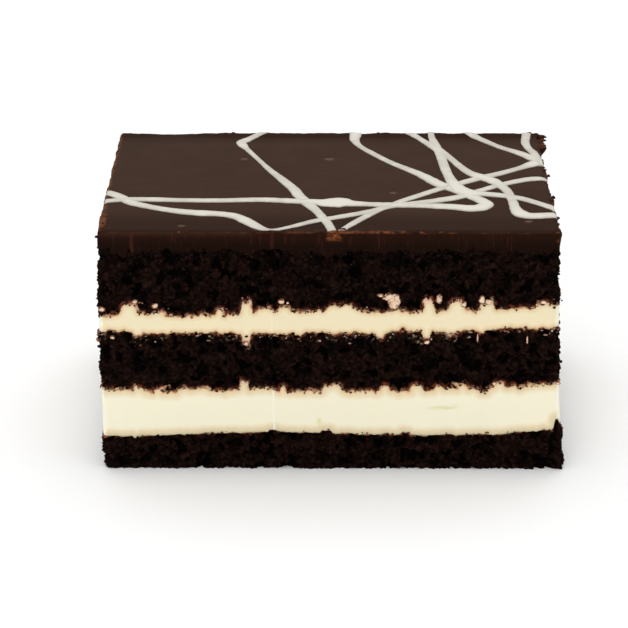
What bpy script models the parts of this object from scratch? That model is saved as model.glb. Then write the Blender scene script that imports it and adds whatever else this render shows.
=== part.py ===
"""A bar of layered opera cake, cut from a slab: three chocolate sponges, two fillings of vanilla cream
and a poured chocolate glaze with a drizzle of white chocolate.

Metres, +Z up. The long cut face looks along -Y. The origin is at the centre of the foot.
"""

import math
import random

import bmesh
import bpy
from mathutils import Vector, noise

MM = 0.001

# The bar, measured at its top. It has slumped, so its foot is wider than its top by this share.
WIDTH = 125 * MM
DEPTH = 80 * MM
SLUMP = 0.03

# Layers from the foot up: name, thickness, rows of faces up its sides, and how far its cut side is torn.
LAYERS = (
    ("base_sponge", 10.8 * MM, 4, 0.55 * MM),
    ("lower_cream", 13.8 * MM, 4, 0.12 * MM),
    ("middle_sponge", 17.2 * MM, 6, 0.55 * MM),
    ("upper_cream", 6.1 * MM, 2, 0.12 * MM),
    ("top_sponge", 18.0 * MM, 6, 0.55 * MM),
    ("chocolate_glaze", 5.1 * MM, 2, 0.20 * MM),
)
HEIGHT = sum(layer[1] for layer in LAYERS)
GAP = 0.3 * MM

# How far the stack leans to the right at each level, from the foot to the top.
LEAN = (1.0 * MM, 0.45 * MM, 0, -0.35 * MM, -0.3 * MM, -0.6 * MM, -0.5 * MM)

# Each level between two layers rolls slowly, and ripples where the cream fills the torn sponge.
ROLL = (0, 0.5 * MM, 0.4 * MM, 0.4 * MM, 0.4 * MM, 0.6 * MM, 0)
ROLL_LENGTH = 38 * MM
RIPPLE = (0, 0.25 * MM, 0.7 * MM, 0.6 * MM, 0.8 * MM, 0.5 * MM, 0)
RIPPLE_LENGTH = 6 * MM

# Slow swells of each level on the front face: place along X, rise and half width in millimetres.
FRONT_SWELLS = {
    1: ((-66, -1.1, 34), (-16, 0.9, 26), (62, 1.5, 9), (0, -0.25, 70)),
    2: ((5, -0.5, 30), (62, 1.4, 24), (-47, -1.1, 8), (-20, 0.6, 6), (8, -0.5, 18), (45, -0.6, 6)),
    3: ((-62, -0.6, 30), (62, 1.3, 34), (0, -0.45, 62), (-57, 0.9, 9), (45, -0.4, 6)),
    4: ((-62, -0.5, 30), (64, 1.9, 26), (-61, -1.4, 6), (-33, -1.1, 14), (6, 0.6, 8), (46, -1.2, 10)),
    5: ((-5, -1.1, 80),),
}

# Fingers of cream in holes of the sponge, on the front face, by level: place along X, height and
# half width in millimetres. A finger with a negative height points down.
FRONT_FINGERS = {
    1: ((62.1, 3.0, 1.5), (-16, 0.6, 1.2), (-1.5, 0.9, 1.6), (-53, -0.8, 1.2), (20, 0.7, 1.4)),
    2: ((-52, 1.2, 1.6), (-47, 1.2, 1.1), (-23.4, 2.4, 1.2), (-12.8, 1.4, 0.8), (0.8, 2.0, 2.9),
        (14.7, 1.9, 1.6), (23.6, 1.6, 1.8), (29.5, 1.0, 1.2), (36, 1.4, 1.4), (41.5, -1.3, 1.2),
        (46, 1.5, 1.7)),
    3: ((-52, -1.2, 1.5), (-22.5, -3.0, 1.25), (-8, -0.8, 1.6), (13.6, -1.3, 1.5), (20, 1.2, 0.7),
        (26.4, -2.5, 1.4), (33, -1.0, 1.6), (41, -0.8, 1.4)),
    4: ((-54.6, 2.7, 2.5), (-46.7, 1.4, 1.7), (-29.6, 1.5, 1.0), (-22.5, 3.4, 1.45), (-17.6, 1.2, 2.0),
        (-12.6, 1.3, 1.6), (3.5, 1.0, 4.0), (27.0, 3.9, 1.6), (34.4, 2.7, 2.3), (42.3, 2.2, 2.1),
        (44.2, 1.9, 0.8), (57.9, 0.8, 1.8)),
    5: ((-55.6, -2.0, 1.6), (-8, -0.8, 2.5), (-1, -1.4, 4.5), (30, 0.7, 3.0)),
}
# The other three faces carry fingers like these, this far apart on average.
FINGER_SPACING = 13 * MM

# Faces along each side of the bar, and the strip round each flat top or foot that follows the ripples.
COLUMNS_X = 44
COLUMNS_Y = 28

CORNER_ROUNDING = 0.6 * MM
RIM_BEVEL = 0.5 * MM
LEVEL_TEAR = 0.12 * MM
TEAR_LENGTH = 5 * MM
CELL_JITTER = 0.28

# The white lines: centre line points (x, y) and the line's width there, in millimetres.
DRIZZLE = {
    "zigzag": (
        (-14.5, 43, 2.0), (-18.2, 40.7, 2.0), (-22, 37.6, 2.2), (-24.6, 34.2, 3.0), (-25.9, 32.3, 3.2),
        (-25.2, 29.3, 2.8), (-23.8, 25.8, 1.9), (-20.3, 17.1, 1.6), (-16.9, 8.7, 2.0), (-13.1, 0.4, 2.8),
        (-9.6, -7.7, 3.3), (-8.5, -11.7, 3.4), (-6.3, -17.5, 3.5), (-3.7, -23.3, 2.9), (-1.7, -29, 2.6),
        (0, -34.6, 2.6), (1.4, -42, 2.4),
    ),
    "dip": (
        (-66, -7.5, 3.0), (-61.5, -10.6, 3.1), (-58.4, -13.5, 3.4), (-55.3, -17.6, 3.6), (-52.4, -19.7, 3.2),
        (-46.6, -22.7, 3.0), (-41, -24.8, 3.5), (-35.4, -26, 3.9), (-29.9, -26.7, 3.5), (-25.7, -28.4, 3.5),
        (-22.5, -31.9, 3.8), (-19.3, -36.2, 3.2), (-17.3, -38.2, 2.2), (-15.6, -38.9, 2.0),
        (-13.2, -37.8, 1.5),
        (-9, -35.3, 1.9), (-3.7, -31.8, 2.4), (3.1, -28.7, 2.5), (11.4, -24.7, 2.6), (17, -20.9, 2.7),
        (25.4, -17.8, 2.8), (31.1, -15.8, 3.2), (36.8, -13.1, 3.2), (42.7, -8.3, 2.5), (48.6, -3.8, 2.5),
        (54.6, -0.2, 2.8), (58.5, 1.3, 3.1), (61.5, 1.2, 2.2), (66, -0.8, 1.6),
    ),
    "hairpin": (
        (-66, -17.3, 2.2), (-61, -16.6, 2.6), (-55.5, -15.5, 2.8), (-47.1, -15.7, 3.1), (-41.5, -16.1, 2.7),
        (-30.3, -16.3, 2.8), (-19.2, -15.7, 3.0), (-10.8, -16.5, 3.4), (-3.8, -17.5, 4.0), (-1, -18.1, 5.6),
        (2.3, -17.9, 7.0), (4.5, -18, 6.4), (6.6, -18.7, 4.2), (11.5, -19.3, 3.0), (17, -19.8, 3.6),
        (25.3, -20.1, 3.2), (33.6, -20.9, 4.0), (39, -22.2, 4.4), (42.2, -21.4, 4.6), (43.8, -19, 4.2),
        (42.3, -15.8, 4.0), (39.6, -12.4, 3.6), (35.6, -7.4, 3.9), (31.6, -3.3, 4.1), (29, 0.7, 3.9),
        (26.3, 4.9, 3.3), (23.5, 8.4, 2.8), (17.9, 15.1, 2.3), (12.3, 23.8, 2.2), (9.2, 29.5, 2.0),
        (7.9, 34.8, 3.0), (8.2, 38.4, 3.6), (8.6, 43, 3.9),
    ),
    "rise": (
        (2.5, -41, 1.8), (4.6, -36.8, 1.9), (8.5, -30.8, 2.3), (14.1, -23.4, 2.1), (19.9, -17.1, 2.2),
        (25.6, -12, 2.4), (31.5, -6.8, 2.5), (37.4, -2.3, 2.8), (43.3, 1.9, 3.1), (49.3, 5.7, 2.8),
        (55.4, 10.3, 2.6), (59.5, 13.8, 4.2), (62.5, 15.2, 5.0), (66, 15.5, 5.0),
    ),
    "far_slant": (
        (36, 44.5, 1.4), (41.2, 40.7, 2.4), (45.4, 35.7, 2.6), (50.9, 28.3, 2.3), (56.4, 22.9, 3.0),
        (59.8, 18.3, 3.6), (62.5, 15.5, 4.5),
    ),
    "far_corner": (
        (60.2, 43, 2.4), (59.2, 36.8, 2.7), (58.7, 32, 2.6), (59.3, 27, 2.4), (60.6, 22.6, 2.6),
        (61.3, 17, 2.9), (62, 12.5, 2.5),
    ),
    "swan": (
        (14, 43.5, 1.6), (21.6, 41.4, 2.0), (26, 37.9, 2.1), (28.8, 32.8, 2.4), (31.2, 28.5, 3.4),
        (33.3, 23.8, 3.2), (35.6, 18.8, 2.4), (38.1, 11.8, 2.6), (40.7, 6.1, 3.0), (44, 2.4, 4.2),
        (46.8, -0.5, 4.0), (48.8, -4.5, 3.4), (50.4, -9, 2.9), (51.3, -16.9, 2.8), (51.6, -22, 3.2),
        (52.7, -26, 4.6), (55.2, -27.9, 4.2), (60.7, -27.5, 3.6), (66, -27.2, 3.4),
    ),
    "long_s": (
        (31.1, 44, 1.9), (30.9, 38.5, 2.0), (31.8, 30.4, 2.8), (32.9, 21.7, 3.0), (33.5, 13.1, 3.0),
        (34.3, 4.7, 3.0), (35.6, -2.7, 4.0), (37.4, -8.2, 5.4), (40.2, -10.5, 5.2), (43.1, -11, 3.4),
        (48, -12.1, 2.9), (53.5, -14.4, 2.8), (58.7, -18.7, 2.5), (61.8, -21.6, 2.8), (66, -25, 3.2),
    ),
}
DRIZZLE_RISE = 0.3 * MM
# How much deeper a bead is than it rises, as a share of that rise, so that its widest part is sunk.
DRIZZLE_SINK = 1.3
DRIZZLE_STEP = 4.5 * MM
DRIZZLE_EDGE = 0.5 * MM

# Colours are linear, with roughness: sponge, cream and glaze.
FINISHES = {
    "sponge": ((0.010, 0.005, 0.0035), 0.9),
    "cream": ((0.88, 0.80, 0.58), 0.5),
    "glaze": ((0.046, 0.026, 0.017), 0.4),
}


def clear_scene():
    for old in list(bpy.data.objects):
        bpy.data.objects.remove(old, do_unlink=True)


def finish_for(name):
    """The Principled material of a layer, by the last word of its name."""
    kind = name.split("_")[-1]
    colour, roughness = FINISHES[kind]
    material = bpy.data.materials.new(name)
    material.use_nodes = True
    shader = material.node_tree.nodes["Principled BSDF"]
    shader.inputs["Base Color"].default_value = (*colour, 1)
    shader.inputs["Roughness"].default_value = roughness
    shader.inputs["Metallic"].default_value = 0
    return material


def levels():
    """The height of each level between layers, from the foot to the top."""
    heights = [0.0]
    for layer in LAYERS:
        heights.append(heights[-1] + layer[1])
    return heights


def way_round(x, y):
    """How far along the outline a point lies, from the front left corner by the right and the back."""
    half_w, half_d = WIDTH / 2, DEPTH / 2
    off_front, off_right = y + half_d, half_w - x
    off_back, off_left = half_d - y, x + half_w
    nearest = min(off_front, off_right, off_back, off_left)
    if nearest == off_front:
        return x + half_w
    if nearest == off_right:
        return WIDTH + y + half_d
    if nearest == off_back:
        return WIDTH + DEPTH + half_w - x
    return 2 * WIDTH + DEPTH + half_d - y


def all_fingers():
    """Every finger as (way round, height, half width) by level: the front's own, and the like elsewhere."""
    draw = random.Random(11)
    found = {}
    for level, front in FRONT_FINGERS.items():
        rows = [(x * MM + WIDTH / 2, height * MM, half * MM) for x, height, half in front]
        place = WIDTH + FINGER_SPACING / 2
        while place < 2 * (WIDTH + DEPTH) - FINGER_SPACING / 2:
            _, height, half = draw.choice(front[1:])
            rows.append((place, height * draw.uniform(0.6, 1.1) * MM, half * MM))
            place += FINGER_SPACING * draw.uniform(0.6, 1.5)
        found[level] = rows
    return found


FINGERS = all_fingers()


def way_between(along, centre):
    """How far apart two places round the bar are, across the front left corner too."""
    around = 2 * (WIDTH + DEPTH)
    return (along - centre + around / 2) % around - around / 2


def level_height(level, x, y, at_side):
    """The height of a level between layers. Only at the cut side does it roll, ripple and carry fingers."""
    height = levels()[level]
    if not at_side:
        return height
    place = Vector((x / ROLL_LENGTH, y / ROLL_LENGTH, level * 7.3))
    height += ROLL[level] * noise.noise(place)
    place = Vector((x / RIPPLE_LENGTH, y / RIPPLE_LENGTH, level * 3.1))
    height += RIPPLE[level] * noise.noise(place)
    along = way_round(x, y)
    for centre, rise, half in FRONT_SWELLS.get(level, ()):
        away = way_between(along, centre * MM + WIDTH / 2) / (half * MM)
        height += rise * MM * math.exp(-away * away)
    for centre, rise, half in FINGERS.get(level, ()):
        away = way_between(along, centre) / half
        height += rise * math.exp(-away * away)
    return height


def torn(x, y, z):
    """Relief of a torn cut face, from -1 to 1: pits between rounded crumbs."""
    return 1.6 * noise.noise(Vector((x, y, z)) / TEAR_LENGTH) - 0.25


def lean_at(z):
    """How far the stack leans at a height, straight between the levels."""
    heights = levels()
    for level in range(len(LAYERS)):
        if z <= heights[level + 1]:
            share = (z - heights[level]) / (heights[level + 1] - heights[level])
            return LEAN[level] + share * (LEAN[level + 1] - LEAN[level])
    return LEAN[-1]


def on_outline(u, v, z, relief):
    """A point of the bar at (u, v) from -0.5 to 0.5 of its footprint, moved out by the relief at a side."""
    spread = 1 + SLUMP * (1 - z / HEIGHT)
    at_side_x, at_side_y = abs(u) > 0.499, abs(v) > 0.499
    out = relief - (CORNER_ROUNDING if at_side_x and at_side_y else 0)
    x = u * WIDTH * spread + (out * math.copysign(1, u) if at_side_x else 0)
    y = v * DEPTH * spread + (out * math.copysign(1, v) if at_side_y else 0)
    return x + lean_at(z), y


def cut_along(bm, axis, cells):
    """Cuts every edge that runs along one axis into equal cells."""
    edges = [e for e in bm.edges if abs((e.verts[0].co - e.verts[1].co)[axis]) > 0.5]
    bmesh.ops.subdivide_edges(bm, edges=edges, cuts=cells - 1, use_grid_fill=True)


def plain_slab(rows):
    """A unit cube with cells on its sides, and on its top and foot a strip of cells round one flat face."""
    bm = bmesh.new()
    bmesh.ops.create_cube(bm, size=1)
    for axis, cells in ((0, COLUMNS_X), (1, COLUMNS_Y), (2, rows)):
        cut_along(bm, axis, cells)
    for end in (-0.5, 0.5):
        inner = [
            face
            for face in bm.faces
            if abs(face.calc_center_median().z - end) < 1e-4
            and abs(face.calc_center_median().x) < 0.5 - 1 / COLUMNS_X
            and abs(face.calc_center_median().y) < 0.5 - 1 / COLUMNS_Y
        ]
        bmesh.ops.dissolve_faces(bm, faces=inner)
    return bm


def shape_slab(bm, index, tear):
    """Moves the unit slab's vertices to the layer's real place, with its torn sides and rippled levels."""
    draw = random.Random(100 + index)
    lowest, highest = levels()[index], levels()[index + 1]
    for vertex in bm.verts:
        u, v, share = vertex.co.x, vertex.co.y, vertex.co.z + 0.5
        at_side = abs(u) > 0.499 or abs(v) > 0.499
        between = 0.01 < share < 0.99
        if at_side and between:
            if abs(u) < 0.499:
                u += draw.uniform(-CELL_JITTER, CELL_JITTER) / COLUMNS_X
            if abs(v) < 0.499:
                v += draw.uniform(-CELL_JITTER, CELL_JITTER) / COLUMNS_Y
            share += draw.uniform(-CELL_JITTER, CELL_JITTER) / LAYERS[index][2]
        x, y = u * WIDTH, v * DEPTH
        low = level_height(index, x, y, at_side) + (GAP / 2 if index else 0)
        high = level_height(index + 1, x, y, at_side) - (GAP / 2 if index < len(LAYERS) - 1 else 0)
        z = low + share * (high - low)
        level_z = lowest if share < 0.01 else highest if share > 0.99 else z
        relief = (tear if between else LEVEL_TEAR) * torn(x, y, level_z) if at_side else 0
        vertex.co = (*on_outline(u, v, level_z, relief), z)


def add_layer(index, home):
    """One layer of the cake as an object in the home collection."""
    name, _, rows, tear = LAYERS[index]
    bm = plain_slab(rows)
    shape_slab(bm, index, tear)
    bmesh.ops.recalc_face_normals(bm, faces=bm.faces)
    if index == len(LAYERS) - 1:
        soften_rim(bm)
    bmesh.ops.triangulate(bm, faces=bm.faces, quad_method="SHORT_EDGE", ngon_method="BEAUTY")
    mesh = bpy.data.meshes.new(name)
    bm.to_mesh(mesh)
    bm.free()
    mesh.materials.append(finish_for(name))
    layer = bpy.data.objects.new(name, mesh)
    home.objects.link(layer)
    return layer


def soften_rim(bm):
    """Rounds the glaze's top rim."""
    rim = [
        edge
        for edge in bm.edges
        if all(abs(vertex.co.z - HEIGHT) < 1e-6 for vertex in edge.verts)
        and any(face.normal.z < 0.7 for face in edge.link_faces)
    ]
    bmesh.ops.bevel(bm, geom=rim, offset=RIM_BEVEL, segments=1, profile=0.5, affect="EDGES", material=-1)


def smooth_route(points):
    """Points with widths at even steps along a smooth curve through a line's own points, in metres."""
    marks = [Vector(point) * MM for point in points]
    marks = [2 * marks[0] - marks[1], *marks, 2 * marks[-1] - marks[-2]]
    route = []
    for a, b, c, d in zip(marks, marks[1:], marks[2:], marks[3:]):
        steps = max(1, round((c - b).xy.length / DRIZZLE_STEP))
        for step in range(steps):
            t = step / steps
            start = 2 * b + (c - a) * t
            route.append(0.5 * (start + (2 * a - 5 * b + 4 * c - d) * t * t + (3 * b - a - 3 * c + d) * t**3))
    return [*route, marks[-2]]


def drizzle_line(name, points, home):
    """One white line: a flattened bead that runs over the glaze and is cut off with the bar's sides."""
    curve = bpy.data.curves.new(name, "CURVE")
    curve.dimensions = "3D"
    curve.bevel_depth = 0.5 * MM
    curve.bevel_resolution = 1
    curve.use_fill_caps = True
    route = smooth_route(points)
    spline = curve.splines.new("POLY")
    spline.points.add(len(route) - 1)
    for mark, point in zip(spline.points, route):
        mark.co = (point.x, point.y, 0, 1)
        mark.radius = point.z / MM
    guide = bpy.data.objects.new(name + "_curve", curve)
    home.objects.link(guide)
    evaluated = guide.evaluated_get(bpy.context.evaluated_depsgraph_get())
    mesh = bpy.data.meshes.new_from_object(evaluated)
    bpy.data.objects.remove(guide)
    bm = bmesh.new()
    bm.from_mesh(mesh)
    bmesh.ops.remove_doubles(bm, verts=bm.verts, dist=1e-6)
    rise = DRIZZLE_RISE * random.Random(name).uniform(0.85, 1.15)
    for vertex in bm.verts:
        nearest = min(route, key=lambda point: (point.xy - vertex.co.xy).length)
        share = vertex.co.z / (nearest.z / 2)
        vertex.co.z = HEIGHT + rise - (1 - share) * rise * DRIZZLE_SINK
    trim_to_bar(bm)
    bm.to_mesh(mesh)
    bm.free()
    line = bpy.data.objects.new(name, mesh)
    home.objects.link(line)
    return line


def trim_to_bar(bm):
    """Cuts a bead off just inside the four sides of the bar's top, and closes its ends."""
    for normal, reach in (
        (Vector((1, 0, 0)), WIDTH / 2 + LEAN[-1]),
        (Vector((-1, 0, 0)), WIDTH / 2 - LEAN[-1]),
        (Vector((0, 1, 0)), DEPTH / 2),
        (Vector((0, -1, 0)), DEPTH / 2),
    ):
        everything = [*bm.verts, *bm.edges, *bm.faces]
        bmesh.ops.bisect_plane(
            bm,
            geom=everything,
            dist=1e-7,
            plane_co=normal * (reach - DRIZZLE_EDGE),
            plane_no=normal,
            clear_outer=True,
        )
        bmesh.ops.holes_fill(bm, edges=[edge for edge in bm.edges if edge.is_boundary])
    bmesh.ops.recalc_face_normals(bm, faces=bm.faces)


def fuse_drizzle(glaze, home):
    """Joins all the white lines to the glaze in one union."""
    lines = bpy.data.collections.new("drizzle_lines")
    bpy.context.scene.collection.children.link(lines)
    for name, points in DRIZZLE.items():
        drizzle_line(name, points, lines)
    union = glaze.modifiers.new("drizzle", "BOOLEAN")
    union.operation = "UNION"
    union.operand_type = "COLLECTION"
    union.collection = lines
    union.solver = "EXACT"
    fused = bpy.data.meshes.new_from_object(glaze.evaluated_get(bpy.context.evaluated_depsgraph_get()))
    glaze.modifiers.clear()
    glaze.data = fused
    for line in list(lines.objects):
        bpy.data.objects.remove(line)
    bpy.data.collections.remove(lines)


def centre_on_origin(layers):
    """Moves the whole stack so that the middle of its outer box stands over the origin."""
    corners = [vertex.co for layer in layers for vertex in layer.data.vertices]
    middle = [(min(c[axis] for c in corners) + max(c[axis] for c in corners)) / 2 for axis in (0, 1)]
    for layer in layers:
        for vertex in layer.data.vertices:
            vertex.co -= Vector((*middle, 0))


def main():
    clear_scene()
    home = bpy.data.collections.new("opera_cake")
    bpy.context.scene.collection.children.link(home)
    layers = [add_layer(index, home) for index in range(len(LAYERS))]
    fuse_drizzle(layers[-1], home)
    centre_on_origin(layers)


main()
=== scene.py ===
"""A bar of layered opera cake: three chocolate sponges, two cream fillings and a glaze with white drizzle."""

import math
import random

import bmesh
import bpy
from mathutils import Matrix, Vector, noise


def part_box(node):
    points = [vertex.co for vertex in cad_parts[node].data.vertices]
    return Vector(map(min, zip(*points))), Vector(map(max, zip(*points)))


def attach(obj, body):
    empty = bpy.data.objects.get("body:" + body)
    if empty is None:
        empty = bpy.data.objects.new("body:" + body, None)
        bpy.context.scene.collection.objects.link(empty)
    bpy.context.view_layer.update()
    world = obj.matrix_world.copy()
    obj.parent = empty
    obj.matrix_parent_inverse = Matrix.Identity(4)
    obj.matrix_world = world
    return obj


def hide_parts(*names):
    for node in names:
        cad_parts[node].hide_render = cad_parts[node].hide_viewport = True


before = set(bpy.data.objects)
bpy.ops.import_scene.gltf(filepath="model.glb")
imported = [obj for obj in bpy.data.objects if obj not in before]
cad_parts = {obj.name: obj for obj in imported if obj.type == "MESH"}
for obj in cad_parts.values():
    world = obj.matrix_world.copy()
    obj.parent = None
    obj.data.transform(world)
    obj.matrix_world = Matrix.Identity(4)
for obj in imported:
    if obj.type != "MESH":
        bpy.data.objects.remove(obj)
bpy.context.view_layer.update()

# Base sponge: the thinnest of three sheets of moist, nearly black chocolate sponge. It was baked flat,
# and cut through with the whole slab, so its four sides are torn crumb with open pores between.
MM = 0.001


def mm(*lengths):
    """Lengths in millimetres as metres."""
    return tuple(length * MM for length in lengths)


WIDTH, DEPTH = mm(125, 80)
SLUMP = 0.03
LEVELS = mm(0, 10.8, 24.6, 41.8, 47.9, 65.9, 71.0)
HEIGHT = LEVELS[-1]
LEAN = mm(1.0, 0.45, 0, -0.35, -0.3, -0.6, -0.5)
CORNER = 1.2 * MM
EDGE_REACH = 4 * MM
AROUND = 2 * (WIDTH + DEPTH)
CREAM_EDGES = (1, 2, 3, 4)
glaze_low, glaze_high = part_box("chocolate_glaze")
MIDDLE = (glaze_low + glaze_high) / 2 - Vector((LEAN[-1], 0, 0))

ROLL = mm(0, 0.5, 0.4, 0.4, 0.4, 0.6, 0)
ROLL_LENGTH = 38 * MM
RIPPLE = mm(0, 0.25, 0.7, 0.6, 0.8, 0.5, 0)
RIPPLE_LENGTH = 6 * MM
JAG = mm(0, 0.45, 1.0, 1.0, 1.1, 1.5, 0)
JAG_SHARES, JAG_LENGTHS = (0.62, 0.45), mm(1.7, 0.8)
FINGER_WAVER_LENGTH, FINGER_BLUNT_LENGTH = mm(0.9, 0.8)

# Slow swells of each level on the front face: place along X, rise and half width in millimetres.
FRONT_SWELLS = {
    1: ((-66, -1.1, 34), (-16, 0.9, 26), (62, 1.5, 9), (0, -0.25, 70)),
    2: ((5, -0.5, 30), (62, 1.4, 24), (-47, -1.1, 8), (-20, 0.6, 6), (8, -0.5, 18), (45, -0.6, 6)),
    3: ((-62, -0.6, 30), (62, 1.3, 34), (0, -0.45, 62), (-57, 0.9, 9), (45, -0.4, 6)),
    4: ((-62, -0.5, 30), (64, 1.9, 26), (-61, -1.4, 6), (-33, -1.1, 14), (6, 0.6, 8), (46, -1.2, 10)),
    5: ((-5, -1.1, 80),),
}
# Holes in the sponge that the cream has filled: place along X, height and half width in millimetres.
FRONT_FINGERS = {
    1: ((62.1, 3.0, 1.5), (-16, 0.6, 1.2), (-1.5, 0.9, 1.6), (-53, -0.8, 1.2), (20, 0.7, 1.4)),
    2: ((-52, 1.2, 1.6), (-47, 1.2, 1.1), (-23.4, 2.4, 1.2), (-12.8, 1.4, 0.8), (0.8, 2.0, 2.9),
        (14.7, 1.9, 1.6), (23.6, 1.6, 1.8), (29.5, 1.0, 1.2), (36, 1.4, 1.4), (41.5, -1.3, 1.2),
        (46, 1.5, 1.7)),
    3: ((-52, -1.2, 1.5), (-22.5, -3.0, 1.25), (-8, -0.8, 1.6), (13.6, -1.3, 1.5), (20, 1.2, 0.7),
        (26.4, -2.5, 1.4), (33, -1.0, 1.6), (41, -0.8, 1.4)),
    4: ((-54.6, 2.7, 2.5), (-46.7, 1.4, 1.7), (-29.6, 1.5, 1.0), (-22.5, 3.4, 1.45), (-17.6, 1.2, 2.0),
        (-12.6, 1.3, 1.6), (3.5, 1.0, 4.0), (27.0, 3.9, 1.6), (34.4, 2.7, 2.3), (42.3, 2.2, 2.1),
        (44.2, 1.9, 0.8), (57.9, 0.8, 1.8)),
    5: ((-55.6, -2.0, 1.6), (-8, -0.8, 2.5), (-1, -1.4, 4.5), (30, 0.7, 3.0)),
}
FINGER_SPACING = 13 * MM

SPONGE_CELL = 0.28 * MM
SPONGE_PROUD = 0.12 * MM
WARP_SIZE, WARP = mm(1.6, 1.1)
PATCH_SIZE, PATCH_RISE = mm(5, 0.5)
CRUMB_SIZE, CRUMB_RISE = mm(2.2, 0.50)
BIT_SIZE, BIT_RISE = mm(1.0, 0.42)
CRACK_DEPTH = 0.45 * MM
PORE_SIZE, PORE_DEPTH = mm(2.3, 1.4)
GRIT_SIZE, GRIT_RISE = mm(0.60, 0.32)
# How many times narrower the stained edge of the base sponge is.
BASE_NARROWED = 2
# How many cells to either side an edge is searched for its nearest point, and blurred over.
EDGE_LOOK, BLUR_LOOK = 10, 11

# Painted shade: the darkest brown, laid where the torn relief is sunk, in pores, cracks and hollows.
SPONGE_PIT_SHADE = (0.0014, 0.0006, 0.0004)
SPONGE_DARK = (0.0056, 0.0022, 0.0014)
SPONGE_LIGHT = (0.0225, 0.0088, 0.0058)
SPONGE_GLINT = (0.052, 0.021, 0.014)
SPONGE_STAINED = (0.230, 0.050, 0.024)
SPONGE_SMEARED = (0.42, 0.30, 0.19)
SPONGE_DRAGGED = (0.50, 0.42, 0.27)
# How far from the edge the middle sponge's cream smears and the lower filling's painted shade at its foot
# reach.
SMEAR_OR_SHADE_REACH = 2.8 * MM
# Coats of colour over the sponge's own, each with its share. A share is a mark on the mesh, a mark with the
# values between which it rises, or a pattern's patches: feature size, detail, the values at which a patch
# starts and is full, and if need be its least and greatest share and a stretch. A list is a product.
SPONGE_COATS = (
    ((1.2 * MM, 6, 0.44, 0.70), SPONGE_LIGHT),
    # painted shade where the relief is sunk
    (("proud", 0, -0.8 * MM), SPONGE_PIT_SHADE),
    ((0.9 * MM, 5, 0.66, 0.80), SPONGE_GLINT),
    ([("near_cream", 1.1 * MM, 0.2 * MM), (1.3 * MM, 5, 0.46, 0.60)], SPONGE_STAINED),
    ([("near_cream", 0.6 * MM, 0.05 * MM), (0.9 * MM, 5, 0.50, 0.62)], SPONGE_SMEARED),
    ([(0.9 * MM, 6, 0.57, 0.64), (5.0 * MM, 3, 0.49, 0.58), "dragged"], SPONGE_DRAGGED),
)
# Fine relief: its depth, feature size and detail, and if need be a stretch.
SPONGE_RELIEF = (0.12 * MM, 0.45 * MM, 4)
SPONGE_SHEEN = {"Roughness": 0.7, "Specular IOR Level": 0.025}


def smooth_step(value, start, end):
    t = min(1, max(0, (value - start) / (end - start)))
    return t * t * (3 - 2 * t)


def side_place(along):
    """The sharp outline's point at a way round the bar, and the turn of that side about the upright."""
    along %= AROUND
    if along < WIDTH:
        return along - WIDTH / 2, -DEPTH / 2, 0
    if along < WIDTH + DEPTH:
        return WIDTH / 2, along - WIDTH - DEPTH / 2, math.pi / 2
    if along < 2 * WIDTH + DEPTH:
        return WIDTH / 2 - (along - WIDTH - DEPTH), DEPTH / 2, math.pi
    return -WIDTH / 2, DEPTH / 2 - (along - 2 * WIDTH - DEPTH), -math.pi / 2


def outline(cell):
    """The sharp outline of the bar's top as (x, y, way round), from the front left corner by the right."""
    points = []
    start = 0
    for length in (WIDTH, DEPTH, WIDTH, DEPTH):
        count = round(length / cell)
        for step in range(count):
            along = start + step / count * length
            points.append((*side_place(along)[:2], along))
        start += length
    return points


def lean_at(height):
    """How far the stack leans to the right at a height."""
    for level, above in enumerate(LEVELS[1:]):
        if height <= above:
            share = (height - LEVELS[level]) / (above - LEVELS[level])
            return LEAN[level] + share * (LEAN[level + 1] - LEAN[level])
    return LEAN[-1]


def stand(x, y, height, out):
    """Where a point of the sharp outline really stands: corner rounded, moved outward, slumped and leaned."""
    fall_x = math.exp((abs(x) - WIDTH / 2) / EDGE_REACH)
    fall_y = math.exp((abs(y) - DEPTH / 2) / EDGE_REACH)
    sign_x, sign_y = math.copysign(1, x), math.copysign(1, y)
    corner_x = abs(x) - (WIDTH / 2 - CORNER)
    corner_y = abs(y) - (DEPTH / 2 - CORNER)
    if corner_x > 0 and corner_y > 0:
        pull = 1 - max(corner_x, corner_y) / math.hypot(corner_x, corner_y)
        x -= sign_x * corner_x * pull
        y -= sign_y * corner_y * pull
    x += sign_x * out * fall_x
    y += sign_y * out * fall_y
    spread = 1 + SLUMP * (1 - height / HEIGHT)
    return x * spread + lean_at(height) + MIDDLE.x, y * spread + MIDDLE.y


def all_fingers():
    """Every filled hole as (way round, height, half width) by level: the front's own, the like elsewhere."""
    draw = random.Random(11)
    found = {}
    for level, front in FRONT_FINGERS.items():
        rows = [(x * MM + WIDTH / 2, height * MM, half * MM) for x, height, half in front]
        place = WIDTH + FINGER_SPACING / 2
        while place < AROUND - FINGER_SPACING / 2:
            _, height, half = draw.choice(front[1:])
            rows.append((place, height * draw.uniform(0.6, 1.1) * MM, half * MM))
            place += FINGER_SPACING * draw.uniform(0.6, 1.5)
        found[level] = rows
    return found


FINGERS = all_fingers()


def way_between(along, centre):
    """How far apart two places round the bar are, across the front left corner too."""
    return (along - centre + AROUND / 2) % AROUND - AROUND / 2


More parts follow.
